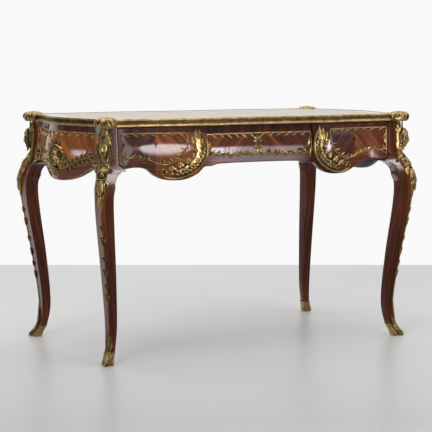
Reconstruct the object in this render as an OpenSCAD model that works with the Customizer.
/* [Top] */
// Height of the writing surface above the floor
top_h = 780; // [765:1:800]
// Length of the top between its square corners
top_len = 1131; // [1100:1:1180]
// Depth of the top between its square corners
top_dep = 607; // [590:1:640]
// Thickness of the top at its edge
top_t = 25; // [22:1:30]
// How far the short edges swell outward at their middle
side_swell = 46; // [30:1:55]
// How far the long edges swell outward beside the middle drawer
front_swell = 9; // [4:1:14]
// How far the long edges draw in between the swellings
front_draw = 9; // [4:1:12]
// Length of the straight edge at each square corner
corner_len = 42; // [41:1:50]
// Width of the veneered border around the leather
border_w = 62; // [50:1:90]
// Thickness of the writing leather
leather_t = 2; // [1:0.5:3]

/* [Edge moulding] */
// Width of the bronze moulding in plan
mould_w = 12; // [9:1:14]
// Height by which the moulding stands above the leather
mould_lip = 0.8; // [0.4:0.2:2]
// Depth of the hollow between its two beads
mould_cove = 4.5; // [2:0.5:6]

/* [Corner clasps] */
// Radius of a corner clasp in plan
clasp_r = 34; // [30:1:37]
// Height of the clasp above the writing surface
clasp_rise = 9; // [5:1:14]
// Depth of the clasp's lobes as a fraction of its radius
clasp_lobe = 0.1; // [0:0.02:0.16]
// How far the clasp's middle lies inward of the corner
clasp_in = 4; // [0:1:6]

/* [Legs] */
// Width of the leg's square post behind the frieze
post_w = 46; // [42:1:50]
// Inward set of the leg's outer face under the top
post_in = 6; // [4:1:9]
// Outward swell of the knee beyond the top's corner line
knee_out = 30; // [22:1:34]
// Inward set of the ankle from the top's corner line
ankle_in = 16; // [8:1:24]
// Depth of the knee's widest place below the top's underside
knee_drop = 225; // [210:1:240]
// Height of the ankle above the floor
ankle_h = 125; // [110:1:140]
// Thickness of the leg at the knee
knee_t = 47; // [42:1:54]
// Thickness of the leg just below the knee
calf_t = 45; // [40:1:50]
// Thickness of the leg at mid height
shin_t = 37; // [34:1:40]
// Thickness of the leg at the ankle
ankle_t = 30; // [28:1:32]
// Thickness of the leg at the floor
foot_t = 24; // [20:1:30]
// How far the leg's ear reaches inward under the frieze
ear_w = 68; // [60:1:76]
// Height of the ear's slanting shoulder
ear_h = 16; // [10:1:20]

/* [Leg mounts] */
// Height of the sabot's wall, counted in leg levels
sabot_levels = 3; // [3:1:5]
// Thickness of the sabot's wall
sabot_t = 2; // [1.5:0.5:4]
// Thickness of the sabot's sole
sole_t = 6; // [4:1:8]
// Reach of the sabot's toe beyond the leg, on the diagonal
toe_out = 13; // [6:1:18]
// Height by which the head on the knee stands proud of the arris
bust_proud = 26; // [18:1:30]
// Half width of the shoulders on the knee
bust_half = 26; // [20:1:28]
// Half width of the head on the knee
head_half = 19; // [14:1:22]
// Level of the leg at which the knee mount ends in a leaf
drop_level = 31; // [29:1:33]
// Half width of the narrow strip along the arris
bead_half = 2.6; // [2:0.2:4]
// Height of the strip above the arris
bead_proud = 2.6; // [1.5:0.1:4]

/* [Frieze] */
// Inward set of the frieze from the edge of the top
overhang = 14; // [8:1:18]
// Outward belly of the long sides
front_belly = 10; // [4:1:14]
// Outward belly of the short sides
side_belly = 16; // [6:1:20]
// Height of the frieze at its arches
arch_drop = 130; // [120:1:135]
// Height of the frieze at the lobes of the long sides
lobe_drop = 175; // [160:1:185]
// Height of the frieze at the lobes of the short sides
side_lobe_drop = 182; // [165:1:190]
// Half length of the middle drawer's front
mid_half = 203.5; // [190:0.5:215]
// Inward step of the middle drawer's front
mid_step = 8; // [3:1:10]
// Distance from the corner line in to the flat back of the long fronts
front_set = 39.5; // [36:0.5:46]
// Distance from the corner line in to the flat back of the short sides
side_set = 35.5; // [32:0.5:42]
// Gap around a drawer's front
front_gap = 1; // [0.6:0.1:2]
// Gap between the drawers' fronts and the top
head_gap = 3; // [1:0.5:4]

/* [Carcass and drawers] */
// Thickness of the rails and partitions
rail_t = 18; // [14:1:22]
// Depth of the front rails
rail_dep = 29; // [24:1:36]
// Height of the lower rail and the runners
runner_h = 12; // [10:1:14]
// Width of a drawer runner
runner_w = 30; // [26:1:34]
// Height of the drawers' sides
side_h = 82; // [70:1:83]
// Thickness of the drawers' sides and backs
side_t = 10; // [8:1:12]
// Thickness of the drawers' bottoms
bottom_t = 6; // [4:1:8]
// Depth of the grooves that hold the bottoms
groove = 4; // [2:0.5:5]
// Length of the drawers' sides
drawer_len = 440; // [380:5:480]
// Running clearance of the drawers
run_gap = 0.7; // [0.4:0.1:1.2]
// Height of the drawers' clearance over the runners
seat_gap = 0.3; // [0.2:0.1:0.5]

/* [Locks] */
// Width of a lock's case
lock_w = 56; // [44:1:64]
// Height of a lock's case
lock_h = 44; // [36:1:50]
// Thickness of a lock's case
lock_t = 9; // [7:0.5:11]
// Distance from the middle to a side drawer's keyhole
key_x = 381; // [360:1:400]
// Diameter of the hole for the key
key_d = 5; // [4:0.5:6]

/* [Bronze on the fronts] */
// Width of the thin frames on the veneer
frame_w = 6; // [4:0.5:8]
// Height of the frames above the veneer
frame_t = 3.5; // [2:0.5:5]
// Height of the scroll mounts above the veneer
scroll_t = 9; // [6:0.5:12]
// Inset of the frames from the ends of a front
frame_in = 13; // [10:1:18]
// Inset of the side frames from the posts
side_frame_in = 9.5; // [8:0.5:14]
// Inset of the frames from the upper edge of the frieze
frame_top = 21; // [16:1:26]

/* [Hidden] */
seat = 0.3;
under = top_h - top_t;
hx = top_len / 2;
hy = top_dep / 2;
levels = 48;
level_h = under / levels;
post_x = hx - post_w;
post_y = hy - post_w;
back_plane = hy - front_set;
side_plane = hx - side_set;
ear_x = hx - ear_w;
ear_y = hy - ear_w;
pedestal = ear_x - mid_half;
function along_pedestal(share) = mid_half + pedestal * share;
ear_z = under - 117;
runner_top = under - 103;
rail_z = runner_top + seat_gap + side_h + run_gap;
screw_d = 4;
screw_head = 9;
bronze = "#b3924f";
kingwood = "#6e3018";
oak = "#b08a5a";

// Value at x of the smooth curve through the points p, level at both ends.
function slope(p, i) = i == 0 || i == len(p) - 1 ? 0 : (p[i+1][1] - p[i-1][1]) / (p[i+1][0] - p[i-1][0]);
function piece_of(x, p, i = 0) = i >= len(p) - 2 || x < p[i+1][0] ? i : piece_of(x, p, i + 1);
function hermite(t, w, a, b, ma, mb) =
  a * (1 + 2*t) * pow(1 - t, 2) + ma * w * t * pow(1 - t, 2)
  + b * t * t * (3 - 2*t) + mb * w * t * t * (t - 1);
function smooth_at(x, p) =
  let (xc = max(p[0][0], min(p[len(p)-1][0], x)), i = piece_of(xc, p), w = p[i+1][0] - p[i][0])
  hermite((xc - p[i][0]) / w, w, p[i][1], p[i+1][1], slope(p, i), slope(p, i + 1));
function ease(t) = let (c = max(0, min(1, t))) c * c * (3 - 2*c);

// Point at parameter t, from 0 to 1, on the round curve through the control points c.
function knot(c, i, loop) = loop ? c[(i + len(c)) % len(c)] : c[max(0, min(len(c) - 1, i))];
function round_at(t, c, loop) =
  let (spans = loop ? len(c) : len(c) - 1, s = t * spans, i = min(floor(s), spans - 1), u = s - i,
       a = knot(c, i - 1, loop), b = knot(c, i, loop), d = knot(c, i + 1, loop), e = knot(c, i + 2, loop))
  (2*b + (d - a)*u + (2*a - 5*b + 4*d - e)*u*u + (3*b - a - 3*d + e)*u*u*u) / 2;

// Closed solid through a row of flat rings. Each ring turns counter-clockwise seen from the row's far end.
module loft(rings, loop = false) {
  n = len(rings);
  k = len(rings[0]);
  sides = [for (i = [0 : (loop ? n - 1 : n - 2)], j = [0 : k - 1])
    let (a = i*k + j, b = i*k + (j + 1) % k, c = ((i + 1) % n)*k + (j + 1) % k, d = ((i + 1) % n)*k + j)
    each [[a, c, b], [a, d, c]]];
  ends = loop ? [] : [[for (j = [0 : k - 1]) j], [for (j = [k - 1 : -1 : 0]) (n - 1)*k + j]];
  polyhedron([for (r = rings, p = r) p], concat(sides, ends), convexity = 6);
}

// Plan of the top: serpentine long edges and swelling short edges between square corners.
front_plan = [[0, -0.8 * front_draw], [hx - 335, front_swell], [hx - 165, -front_draw],
              [hx - corner_len, 0], [hx, 0]];
function plan_y(x) = hy + smooth_at(abs(x), front_plan);
function plan_x(y) = hx + side_swell * pow(cos(90 * min(1, abs(y) / (hy - corner_len))), 2);
function steps(a, b, n) = [for (i = [0 : n]) a + (b - a) * i / n];
long_end = hx - corner_len;
short_end = hy - corner_len;
// Stations along an edge, the same for the panel and its moulding so that the two touch evenly.
function stations(reach, end, n) =
  reach > end ? concat([-reach], steps(-end, end, n), [reach]) : steps(-reach, reach, n);
function outline(inset) =
  let (fx = stations(hx - inset, long_end, 30), all_y = stations(hy - inset, short_end, 16),
       sy = [for (i = [1 : len(all_y) - 2]) all_y[i]])
  concat([for (x = fx) [x, -(plan_y(x) - inset)]], [for (y = sy) [plan_x(y) - inset, y]],
         [for (x = fx) [-x, plan_y(x) - inset]], [for (y = sy) [-(plan_x(y) - inset), -y]]);

module slab(inset, low, high) translate([0, 0, low]) linear_extrude(high - low) polygon(outline(inset));

screw_spots = [for (x = [-hx + 120, -60, 60, hx - 120]) [x, -back_plane + rail_dep / 2]];

module top_panel() color(kingwood) difference() {
  slab(mould_w + seat, under, top_h);
  slab(border_w, top_h - leather_t, top_h + 1);
  for (p = screw_spots) translate([p[0], p[1], under - 1]) cylinder(h = 12, d = screw_d + 2*seat, $fn = 24);
}
module leather_panel() color("#8d7f63") slab(border_w + seat, top_h - leather_t, top_h);

// Section of the edge moulding: lower bead, hollow and upper bead, outward distance and height.
mould_section = [[0, under], [mould_w - 1.5, under], [mould_w, under + 4], [mould_w - 2, under + 8],
                 [mould_w - mould_cove, under + 10], [mould_w - mould_cove, top_h - 6],
                 [mould_w - 2, top_h - 3], [mould_w - 3, top_h + mould_lip], [0, top_h + mould_lip]];
module moulding_long() color(bronze) loft([for (x = steps(-long_end, long_end, 30))
  [for (k = [len(mould_section) - 1 : -1 : 0])
    let (p = mould_section[k]) [x, -(plan_y(x) - mould_w + p[0]), p[1]]]]);
module moulding_short() color(bronze) rotate([0, 0, -90]) loft([for (y = steps(-short_end, short_end, 16))
  [for (k = [len(mould_section) - 1 : -1 : 0])
    let (p = mould_section[k]) [y, -(plan_x(y) - mould_w + p[0]), p[1]]]]);
module edge_moulding_front() moulding_long();
module edge_moulding_back() mirror([0, 1, 0]) moulding_long();
module edge_moulding_left() moulding_short();
module edge_moulding_right() mirror([1, 0, 0]) moulding_short();

// Domed leaf over a corner of the top, cut to seat on the panel.
clasp_rows = [[0, 0.84], [0.3, 1], [0.62, 0.95], [0.85, 0.66], [1, 0.2]];
module clasp_back_right() color(bronze) difference() {
  loft([for (row = clasp_rows) [for (j = [0 : 19])
    let (a = 18 * j, lobe = 1 - clasp_lobe * pow(sin(2.5*(a - 45)), 2), r = clasp_r * row[1] * lobe)
    [hx - clasp_in + r * cos(a), hy - clasp_in + r * sin(a),
     under + seat + row[0] * (top_t - seat + clasp_rise)]]]);
  translate([hx - corner_len - 10, hy - corner_len - 10, under - 5])
    cube([corner_len + 10 - mould_w, corner_len + 10 - mould_w, top_t + 5 + seat]);
}
module corner_clasp_back_right() clasp_back_right();
module corner_clasp_back_left() mirror([1, 0, 0]) clasp_back_right();
module corner_clasp_front_right() mirror([0, 1, 0]) clasp_back_right();
module corner_clasp_front_left() mirror([1, 0, 0]) mirror([0, 1, 0]) clasp_back_right();

// Outer line of the leg, as height and distance outward from the corner of the top.
leg_outer = [[0, ankle_in - 12], [sole_t + 40, -ankle_in + 5], [ankle_h, -ankle_in],
             [ankle_h + 155, 0], [under - knee_drop - 60, knee_out - 4], [under - knee_drop + 10, knee_out],
             [under - 180, knee_out - 5], [under - 152, knee_out / 2], [under - 132, knee_out / 5],
             [under - 105, 0], [under, -post_in]];
// Thickness of the leg, as height and thickness.
leg_thick = [[0, foot_t], [ankle_h, ankle_t], [ankle_h + 155, shin_t],
             [under - knee_drop - 56, calf_t], [under - knee_drop + 10, knee_t],
             [under - 177, knee_t + 5]];
function leg_out(z) = smooth_at(z, leg_outer);
function level_z(i) = i * level_h;
leg_top_points = [[-post_w, under], [-post_w, ear_z], [-ear_w, ear_z - ear_h],
                  [-ear_w - 1, ear_z - ear_h - 5], [-0.82 * ear_w, ear_z - ear_h - 16]];
module leg_profile(offset) polygon(concat(
  [[offset + leg_out(sole_t), sole_t]],
  [for (i = [1 : levels]) [offset + leg_out(level_z(i)), level_z(i)]],
  [for (p = leg_top_points) [offset + p[0], p[1]]],
  [for (i = [floor((under - 158) / level_h) : -1 : 1]) let (z = level_z(i))
    [offset + leg_out(z) - smooth_at(z, leg_thick), z]],
  [[offset + leg_out(sole_t) - foot_t, sole_t]]));
// The leg is square, and its two ears stay as thick as the post.
ear_cut = 120 - post_w;
module leg_back_right() color(kingwood) difference() {
  intersection() {
    translate([0, hy + 80, 0]) rotate([90, 0, 0]) linear_extrude(200) leg_profile(hx);
    translate([hx - 120, 0, 0]) rotate([90, 0, 90]) linear_extrude(200) leg_profile(hy);
  }
  translate([hx - 120, hy - 120, ear_z - 70]) cube([ear_cut, ear_cut, 71]);
}
module leg_back_left() mirror([1, 0, 0]) leg_back_right();
module leg_front_right() mirror([0, 1, 0]) leg_back_right();
module leg_front_left() mirror([1, 0, 0]) mirror([0, 1, 0]) leg_back_right();

// Bronze shoe around the foot, with its toe drawn out on the diagonal.
function square_ring(k, m) = let (s = 4 * k / m, i = floor(s), f = 2 * (s - i) - 1)
  i == 0 ? [1, f] : i == 1 ? [-f, 1] : i == 2 ? [-1, -f] : [f, -1];
function leg_point(q, z, grow, toe) =
  let (out = leg_out(z), t = z < level_h ? foot_t : smooth_at(z, leg_thick),
       c = out - t / 2, h = t / 2 + grow, lead = toe * pow(max(0, (q[0] + q[1]) / 2), 3))
  [hx + c + h * q[0] + lead, hy + c + h * q[1] + lead, z];
sabot_rows = [[0, 1, 0.75], [0.18, 1.8, 1], [0.42, 0.9, 0.5], [0.75, 0.2, 0.1], [1, 0.6, 0]];
module sabot_back_right() color(bronze) {
  rim = sabot_levels * level_h;
  outer = [for (row = sabot_rows) [for (k = [0 : 11])
    leg_point(square_ring(k, 12), row[0] * rim, sabot_t + row[1], row[2] * toe_out)]];
  inner = [for (i = [sabot_levels : -1 : 1]) [for (k = [0 : 11])
    leg_point(square_ring(k, 12), level_z(i), seat, 0)]];
  floor_ring = [for (k = [0 : 11]) let (p = leg_point(square_ring(k, 12), sole_t, seat, 0))
    [p[0], p[1], sole_t - seat]];
  loft(concat(outer, inner, [floor_ring]));
}
module sabot_back_left() mirror([1, 0, 0]) sabot_back_right();
module sabot_front_right() mirror([0, 1, 0]) sabot_back_right();
module sabot_front_left() mirror([1, 0, 0]) mirror([0, 1, 0]) sabot_back_right();

// Ring on the leg's arris: a notch that seats on both faces, and a round front.
function on_corner(s, w, z) = [hx + (s - w) / sqrt(2), hy + (s + w) / sqrt(2), z];
function arris_ring(i, half, proud, n) = let (z = level_z(i), s0 = leg_out(z) * sqrt(2) + seat)
  concat([on_corner(s0, 0, z)],
    [for (k = [0 : n]) let (a = -90 + 180 * k / n)
      on_corner(s0 - half + (half + proud) * cos(a), half * sin(a), z)]);
bust_high = [[under - 262, 5], [under - 200, 8], [under - 168, 8], [under - 140, 0.6 * bust_proud],
             [under - 115, 0.38 * bust_proud], [under - 98, 0.4 * bust_proud], [under - 72, bust_proud],
             [under - 58, 0.92 * bust_proud], [under - 32, 0.4 * bust_proud], [under, 0.25 * bust_proud]];
bust_wide = [[under - 262, 4], [under - 215, 12], [under - 168, 0.62 * bust_half],
             [under - 140, 0.8 * bust_half], [under - 112, bust_half], [under - 92, 0.8 * head_half],
             [under - 68, head_half], [under - 45, 1.05 * head_half],
             [under - 20, 1.15 * head_half], [under, head_half]];
module knee_bust_back_right() color(bronze) loft([for (i = [drop_level : levels]) let (z = level_z(i))
  arris_ring(i, smooth_at(z, bust_wide), smooth_at(z, bust_high), 8)]);
module knee_bust_back_left() mirror([1, 0, 0]) knee_bust_back_right();
module knee_bust_front_right() mirror([0, 1, 0]) knee_bust_back_right();
module knee_bust_front_left() mirror([1, 0, 0]) mirror([0, 1, 0]) knee_bust_back_right();

// Narrow strip down the arris, widening to a leaf at the sabot and to small husks on the way.
husks = [ankle_h + 95, ankle_h + 175, under - knee_drop - 125];
function husk_at(z) = max([for (h = husks) pow(max(0, 1 - abs(z - h) / 30), 2)]);
function tongue_at(z) = 1 - ease((z - sabot_levels * level_h) / 70);
module leg_bead_back_right() color(bronze) loft([for (i = [sabot_levels : drop_level]) let (z = level_z(i))
  arris_ring(i, bead_half + 3 * husk_at(z) + 7 * tongue_at(z), bead_proud + 1.5 * husk_at(z), 2)]);
module leg_bead_back_left() mirror([1, 0, 0]) leg_bead_back_right();
module leg_bead_front_right() mirror([0, 1, 0]) leg_bead_back_right();
module leg_bead_front_left() mirror([1, 0, 0]) mirror([0, 1, 0]) leg_bead_back_right();

// Faces of the frieze, as the distance outward from the middle plane.
belly_line = [[under - 185, 0.1], [under - 68, 1], [under, 0]];
function front_face(x, z, step = 0) =
  let (free = plan_y(x) - overhang + front_belly * smooth_at(z, belly_line) - step,
       w = ease((abs(x) - post_x + 95) / 95))
  free * (1 - w) + (hy + leg_out(z)) * w;
function side_face(y, z) =
  let (free = plan_x(y) - overhang + side_belly * smooth_at(z, belly_line),
       w = ease((abs(y) - post_y + 85) / 85))
  free * (1 - w) + (hx + leg_out(z)) * w;

// Lower edges of the frieze, as distance from the middle and height.
shoulder = ear_z - ear_h;
arch_z = under - arch_drop;
lobe_z = under - lobe_drop;
side_lobe_z = under - side_lobe_drop;
function front_low(x, gap) = let (a = abs(x),
    near_leg = shoulder + gap + (a - ear_x) * ear_h / (ear_w - post_w),
    free = smooth_at(a, [[mid_half, shoulder], [along_pedestal(0.035), shoulder - 4],
      [along_pedestal(0.1), lobe_z + 20], [along_pedestal(0.24), lobe_z + 3], [along_pedestal(0.38), lobe_z],
      [along_pedestal(0.5), lobe_z + 4], [along_pedestal(0.6), lobe_z + 17],
      [along_pedestal(0.705), arch_z - 6], [along_pedestal(0.86), arch_z + 1], [ear_x, shoulder + gap]]))
  a > ear_x ? near_leg : free;
function mid_low(x) = smooth_at(abs(x), [[0, shoulder + 7], [0.75 * mid_half, shoulder + 6],
  [0.88 * mid_half, shoulder], [mid_half, shoulder]]);
function side_low(y, gap) = let (a = abs(y),
    near_leg = shoulder + gap + (a - ear_y) * ear_h / (ear_w - post_w),
    free = smooth_at(a, [[0, side_lobe_z], [0.22 * ear_y, side_lobe_z + 2], [0.45 * ear_y, side_lobe_z + 13],
      [0.67 * ear_y, arch_z - 20], [0.82 * ear_y, arch_z - 5], [ear_y, shoulder + gap]]))
  a > ear_y ? near_leg : free;

// Bellied board: a flat back, a curved face and a shaped lower edge, looked up by kind.
function low_of(kind, u) = kind == "mid" ? mid_low(u) : kind == "side" ? side_low(u, seat)
  : front_low(u, kind == "back" ? seat : 2 * front_gap);
function face_of(kind, u, z) = kind == "side" ? side_face(u, z)
  : kind == "mid" ? front_face(u, z, mid_step) : front_face(u, z);
module board(kind, us, high, back, nz) loft([for (u = us) let (low = low_of(kind, u))
  concat([[u, -back, low], [u, -back, high]],
    [for (j = [nz : -1 : 0]) let (z = low + (high - low) * j / nz) [u, -face_of(kind, u, z), z]])]);

function run(a, b, n) = [for (i = [0 : n - 1]) a + (b - a) * i / n];
pedestal_us = concat(run(mid_half + front_gap / 2, ear_x, 20), steps(ear_x, post_x - front_gap, 2));
module pedestal_front() board("pedestal", pedestal_us, under - head_gap, back_plane, 8);
module keyhole(x) translate([x, -back_plane + 1, runner_top + 44]) rotate([90, 0, 0])
  cylinder(h = 80, d = key_d, $fn = 24);
module drawer_right_front() color(kingwood) difference() {
  pedestal_front();
  keyhole(key_x);
}
module drawer_left_front() mirror([1, 0, 0]) drawer_right_front();
module drawer_centre_front() color(kingwood) difference() {
  board("mid", steps(front_gap / 2 - mid_half, mid_half - front_gap / 2, 24), under - head_gap,
        back_plane, 8);
  keyhole(0);
}
back_us = concat(run(mid_half + seat / 2, ear_x, 16), steps(ear_x, post_x - seat, 2));
module back_apron() color(kingwood) mirror([0, 1, 0]) {
  board("back", back_us, under, back_plane, 7);
  board("mid", steps(seat / 2 - mid_half, mid_half - seat / 2, 16), under, back_plane, 7);
  mirror([1, 0, 0]) board("back", back_us, under, back_plane, 7);
}
side_us = concat(run(seat - post_y, -ear_y, 3), run(-ear_y, -0.75 * ear_y, 4),
  run(-0.75 * ear_y, 0.75 * ear_y, 14), run(0.75 * ear_y, ear_y, 4), steps(ear_y, post_y - seat, 3));
module side_apron_left() color(kingwood) rotate([0, 0, -90]) board("side", side_us, under, side_plane, 8);
module side_apron_right() mirror([1, 0, 0]) side_apron_left();

// Inner carcass of oak.
rail_back = -back_plane + seat + rail_dep;
module rail(low, high) translate([-(post_x - seat), -back_plane + seat, low])
  cube([2 * (post_x - seat), rail_dep, high - low]);
module front_top_rail() color(oak) difference() {
  rail(rail_z, under);
  for (p = screw_spots) translate([p[0], p[1], rail_z - 1]) {
    cylinder(h = under - rail_z + 2, d = screw_d + 2*seat, $fn = 24);
    cylinder(h = 4, d = screw_head + 2*seat, $fn = 24);
  }
}
module front_bottom_rail() color(oak) rail(runner_top - runner_h, runner_top);
module divider_right() color(oak) translate([mid_half - rail_t / 2, rail_back, runner_top - runner_h])
  cube([rail_t, back_plane - rail_back, under - runner_top + runner_h]);
module divider_left() mirror([1, 0, 0]) divider_right();
box_in = mid_half + rail_t / 2 + run_gap;
box_out = post_x - 6;
mid_box = mid_half - rail_t / 2 - run_gap;
runner_len = post_y - seat - rail_back;
module runner_set() {
  inner = mid_half + rail_t / 2;
  for (x = [inner, inner - rail_t - runner_w / 2]) translate([x, rail_back, runner_top - runner_h])
    cube([runner_w / 2, runner_len, runner_h]);
  translate([side_plane - runner_w, rail_back, runner_top - runner_h]) cube([runner_w, runner_len, runner_h]);
  translate([box_out + run_gap, rail_back, runner_top])
    cube([side_plane - box_out - run_gap, runner_len, 1.6 * runner_h]);
  translate([side_plane - runner_w, rail_back, rail_z])
    cube([runner_w, runner_len, under - rail_z]);
}
module drawer_runners() color(oak) {
  runner_set();
  mirror([1, 0, 0]) runner_set();
}
module top_screws() color("silver") for (p = screw_spots) translate([p[0], p[1], rail_z])
  union() {
    cylinder(h = 2.6, d = screw_head, $fn = 24);
    cylinder(h = under - rail_z + 10, d = screw_d, $fn = 24);
  }

// Drawer box between x0 and x1: two grooved sides and a back.
box_z = runner_top + seat_gap;
box_end = -back_plane + drawer_len;
module box_side(x, inward) difference() {
  translate([x, -back_plane, box_z]) cube([side_t, drawer_len, side_h]);
  translate([x + (inward > 0 ? side_t - groove : -1), -back_plane - 1, box_z + groove])
    cube([groove + 1, drawer_len + 2, bottom_t + 2 * seat]);
}
module drawer_box(x0, x1) color(oak) {
  box_side(x0, 1);
  box_side(x1 - side_t, -1);
  translate([x0 + side_t / 2, box_end - side_t, box_z + groove + bottom_t + 2 * seat])
    cube([x1 - x0 - side_t, side_t, side_h - groove - bottom_t - 2 * seat]);
}
module drawer_bottom(x0, x1) color(oak)
  translate([x0 + side_t - groove + seat, -back_plane, box_z + groove + seat])
    cube([x1 - x0 - 2 * (side_t - groove + seat), drawer_len, bottom_t]);
module drawer_right_box() drawer_box(box_in, box_out);
module drawer_left_box() drawer_box(-box_out, -box_in);
module drawer_centre_box() drawer_box(-mid_box, mid_box);
module drawer_right_bottom() drawer_bottom(box_in, box_out);
module drawer_left_bottom() drawer_bottom(-box_out, -box_in);
module drawer_centre_bottom() drawer_bottom(-mid_box, mid_box);

// Drawer lock: a case behind the front with its bolt drawn back and a hole for the key.
module lock(x) color("#8a8578") translate([x, -back_plane, runner_top + 44]) difference() {
  union() {
    translate([-lock_w / 2, 0, -lock_h / 2]) cube([lock_w, lock_t, lock_h]);
    translate([-10, 2, lock_h / 2]) cube([20, lock_t - 4, 4]);
  }
  translate([0, lock_t + 1, 0]) rotate([90, 0, 0]) cylinder(h = lock_t + 2, d = key_d, $fn = 24);
}
module drawer_right_lock() lock(key_x);
module drawer_left_lock() lock(-key_x);
module drawer_centre_lock() lock(0);

// Raised strip on a face of the frieze. c holds points of its middle line with its width there.
function strip_point(kind, u, z, h) = [u, -(face_of(kind, u, z) + (kind == "side" ? 2 : 1) * seat + h), z];
module strip(kind, c, n, high, loop = false) {
  at = [for (i = [0 : (loop ? n - 1 : n)]) round_at(i / n, c, loop)];
  m = len(at);
  loft([for (i = [0 : m - 1])
    let (p = at[i], a = loop ? at[(i + m - 1) % m] : at[max(0, i - 1)],
         b = loop ? at[(i + 1) % m] : at[min(m - 1, i + 1)],
         d = [b[0] - a[0], b[1] - a[1]] / norm([b[0] - a[0], b[1] - a[1]]), s = [-d[1], d[0]] * p[2] / 2)
    [strip_point(kind, p[0] + s[0], p[1] + s[1], 0),
     strip_point(kind, p[0] + 0.6*s[0], p[1] + 0.6*s[1], high * min(1, p[2] / frame_w)),
     strip_point(kind, p[0] - 0.6*s[0], p[1] - 0.6*s[1], high * min(1, p[2] / frame_w)),
     strip_point(kind, p[0] - s[0], p[1] - s[1], 0)]], loop);
}
// Points along straight sides between corners, so that the strip keeps its corners crisp.
function side_run(a, b, n) = [for (i = [0 : n - 1]) let (p = a + (b - a) * i / n) [p[0], p[1], frame_w]];

frame_z = under - frame_top;
ped_a = [post_x - frame_in, frame_z];
ped_b = [along_pedestal(0.2), frame_z - 2];
pedestal_frame_line = concat(side_run([post_x - frame_in, under - 108], [post_x - frame_in, frame_z - 3], 4),
  side_run(ped_a, ped_b, 8),
  [[along_pedestal(0.18), frame_z - 8, frame_w], [along_pedestal(0.19), under - 60, frame_w],
   [along_pedestal(0.25), under - 92, frame_w], [along_pedestal(0.38), under - 112, frame_w],
   [along_pedestal(0.52), under - 116, frame_w], [along_pedestal(0.67), under - 102, frame_w],
   [along_pedestal(0.86), under - 93, frame_w],
   [post_x - frame_in - 22, under - 102, frame_w], [post_x - frame_in - 4, under - 111, frame_w]]);
module pedestal_frame() strip("pedestal", pedestal_frame_line, 44, frame_t, true);
module drawer_right_frame() color(bronze) pedestal_frame();
module drawer_left_frame() mirror([1, 0, 0]) drawer_right_frame();
mid_a = [mid_half - 6, under - 29];
mid_b = [mid_half - 6, under - 105];
mid_frame_line = concat(side_run([mid_a[0] - 1, mid_b[1] + 2], [mid_a[0], mid_a[1] - 2], 4),
  side_run(mid_a, [-mid_a[0], mid_a[1]], 14),
  side_run([-mid_a[0], mid_a[1] - 2], [-mid_a[0] + 1, mid_b[1] + 2], 4),
  side_run([-mid_b[0], mid_b[1]], mid_b, 14));
module mid_frame() strip("mid", mid_frame_line, 44, frame_t, true);
module drawer_centre_frame() color(bronze) mid_frame();
module back_frames() color(bronze) mirror([0, 1, 0]) {
  pedestal_frame();
  mid_frame();
  mirror([1, 0, 0]) pedestal_frame();
}
side_end = post_y - side_frame_in;
// The lower run of a side frame climbs to a crest near the leg, then falls to the foot of the upright.
side_low_line = [[0.15 * side_end, under - 141], [0.25 * side_end, under - 140],
  [0.41 * side_end, under - 127], [0.565 * side_end, under - 112], [0.8 * side_end, under - 100],
  [0.9 * side_end, under - 115], [side_end - 4, under - 126]];
function side_low_run(us, sign) = [for (u = us) [sign * u, smooth_at(u, side_low_line), frame_w]];
side_frame_line = concat(side_low_run(steps(0.15 * side_end, side_end - 4, 12), 1),
  side_run([side_end, under - 120], [side_end, frame_z - 4], 3),
  side_run([side_end, frame_z], [-side_end, frame_z], 12),
  side_run([-side_end, frame_z - 4], [-side_end, under - 118], 3),
  side_low_run(steps(side_end - 4, 0.7 * side_end, 4), -1));
module side_frame_left() color(bronze) rotate([0, 0, -90]) strip("side", side_frame_line, 66, frame_t);
module side_frame_right() mirror([1, 0, 0]) side_frame_left();

// Scroll mount that wraps the inner end of a pedestal, drawn on the right-hand front.
scroll_edge = [[mid_half + 38, under - 16, 5], [mid_half + 20, under - 32, 10],
  [mid_half + 13, under - 60, 16],
  [mid_half + 13, under - 95, 19], [mid_half + 24, under - 124, 20], [mid_half + 52, under - 148, 22],
  [mid_half + 86, under - 160, 19], [mid_half + 122, under - 162, 12], [mid_half + 142, under - 152, 8],
  [mid_half + 136, under - 143, 6]];
scroll_inner = [[mid_half + 25, under - 52, 5], [mid_half + 33, under - 78, 8],
  [mid_half + 46, under - 104, 9],
  [mid_half + 66, under - 124, 8], [mid_half + 88, under - 134, 6], [mid_half + 92, under - 126, 4]];
module scroll_mount() color(bronze) {
  strip("pedestal", scroll_edge, 28, scroll_t);
  strip("pedestal", scroll_inner, 14, 0.8 * scroll_t);
}
module drawer_right_scroll() scroll_mount();
module drawer_left_scroll() mirror([1, 0, 0]) scroll_mount();
module back_scrolls() mirror([0, 1, 0]) {
  scroll_mount();
  mirror([1, 0, 0]) scroll_mount();
}
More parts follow.
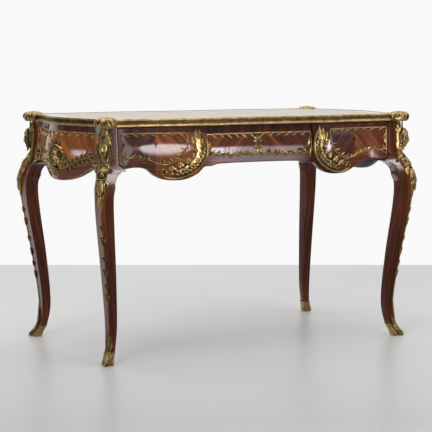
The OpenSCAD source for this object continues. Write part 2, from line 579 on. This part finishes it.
module drawer_centre_escutcheon() color(bronze) difference() {
  strip("mid", [[0, under - 38, 6], [0, under - 48, 18], [0, under - 62, 13], [0, under - 78, 20],
    [0, under - 92, 12], [0, under - 100, 4]], 14, frame_t);
  keyhole(0);
}

// Leafy cartouche between the ends of a side frame. u is positive to the front.
module side_cartouche_left() color(bronze) rotate([0, 0, -90]) {
  strip("side", [[66, under - 84, 6], [56, under - 74, 12], [34, under - 68, 18], [8, under - 80, 22],
    [-8, under - 102, 22], [-4, under - 123, 18], [18, under - 134, 9]], 18, scroll_t);
  strip("side", [[44, under - 92, 12], [60, under - 92, 14], [58, under - 108, 12]], 6, scroll_t);
  strip("side", [[-22, under - 101, 8], [-52, under - 102, 20], [-92, under - 111, 14], [-124, under - 114, 5]],
    10, 0.8 * scroll_t);
  strip("side", [[-18, under - 135, 8], [-52, under - 138, 20], [-92, under - 136, 18],
    [-134, under - 126, 12], [-160, under - 118, 5]], 12, 0.8 * scroll_t);
}
module side_cartouche_right() mirror([1, 0, 0]) side_cartouche_left();

top_panel();
leather_panel();
edge_moulding_front();
edge_moulding_back();
edge_moulding_left();
edge_moulding_right();
corner_clasp_front_left();
corner_clasp_front_right();
corner_clasp_back_left();
corner_clasp_back_right();
leg_front_left();
leg_front_right();
leg_back_left();
leg_back_right();
sabot_front_left();
sabot_front_right();
sabot_back_left();
sabot_back_right();
knee_bust_front_left();
knee_bust_front_right();
knee_bust_back_left();
knee_bust_back_right();
leg_bead_front_left();
leg_bead_front_right();
leg_bead_back_left();
leg_bead_back_right();
side_apron_left();
side_apron_right();
side_frame_left();
side_frame_right();
side_cartouche_left();
side_cartouche_right();
back_apron();
back_frames();
back_scrolls();
front_top_rail();
front_bottom_rail();
divider_left();
divider_right();
drawer_runners();
top_screws();
drawer_left_front();
drawer_left_box();
drawer_left_bottom();
drawer_left_lock();
drawer_left_frame();
drawer_left_scroll();
drawer_centre_front();
drawer_centre_box();
drawer_centre_bottom();
drawer_centre_lock();
drawer_centre_frame();
drawer_centre_escutcheon();
drawer_right_front();
drawer_right_box();
drawer_right_bottom();
drawer_right_lock();
drawer_right_frame();
drawer_right_scroll();
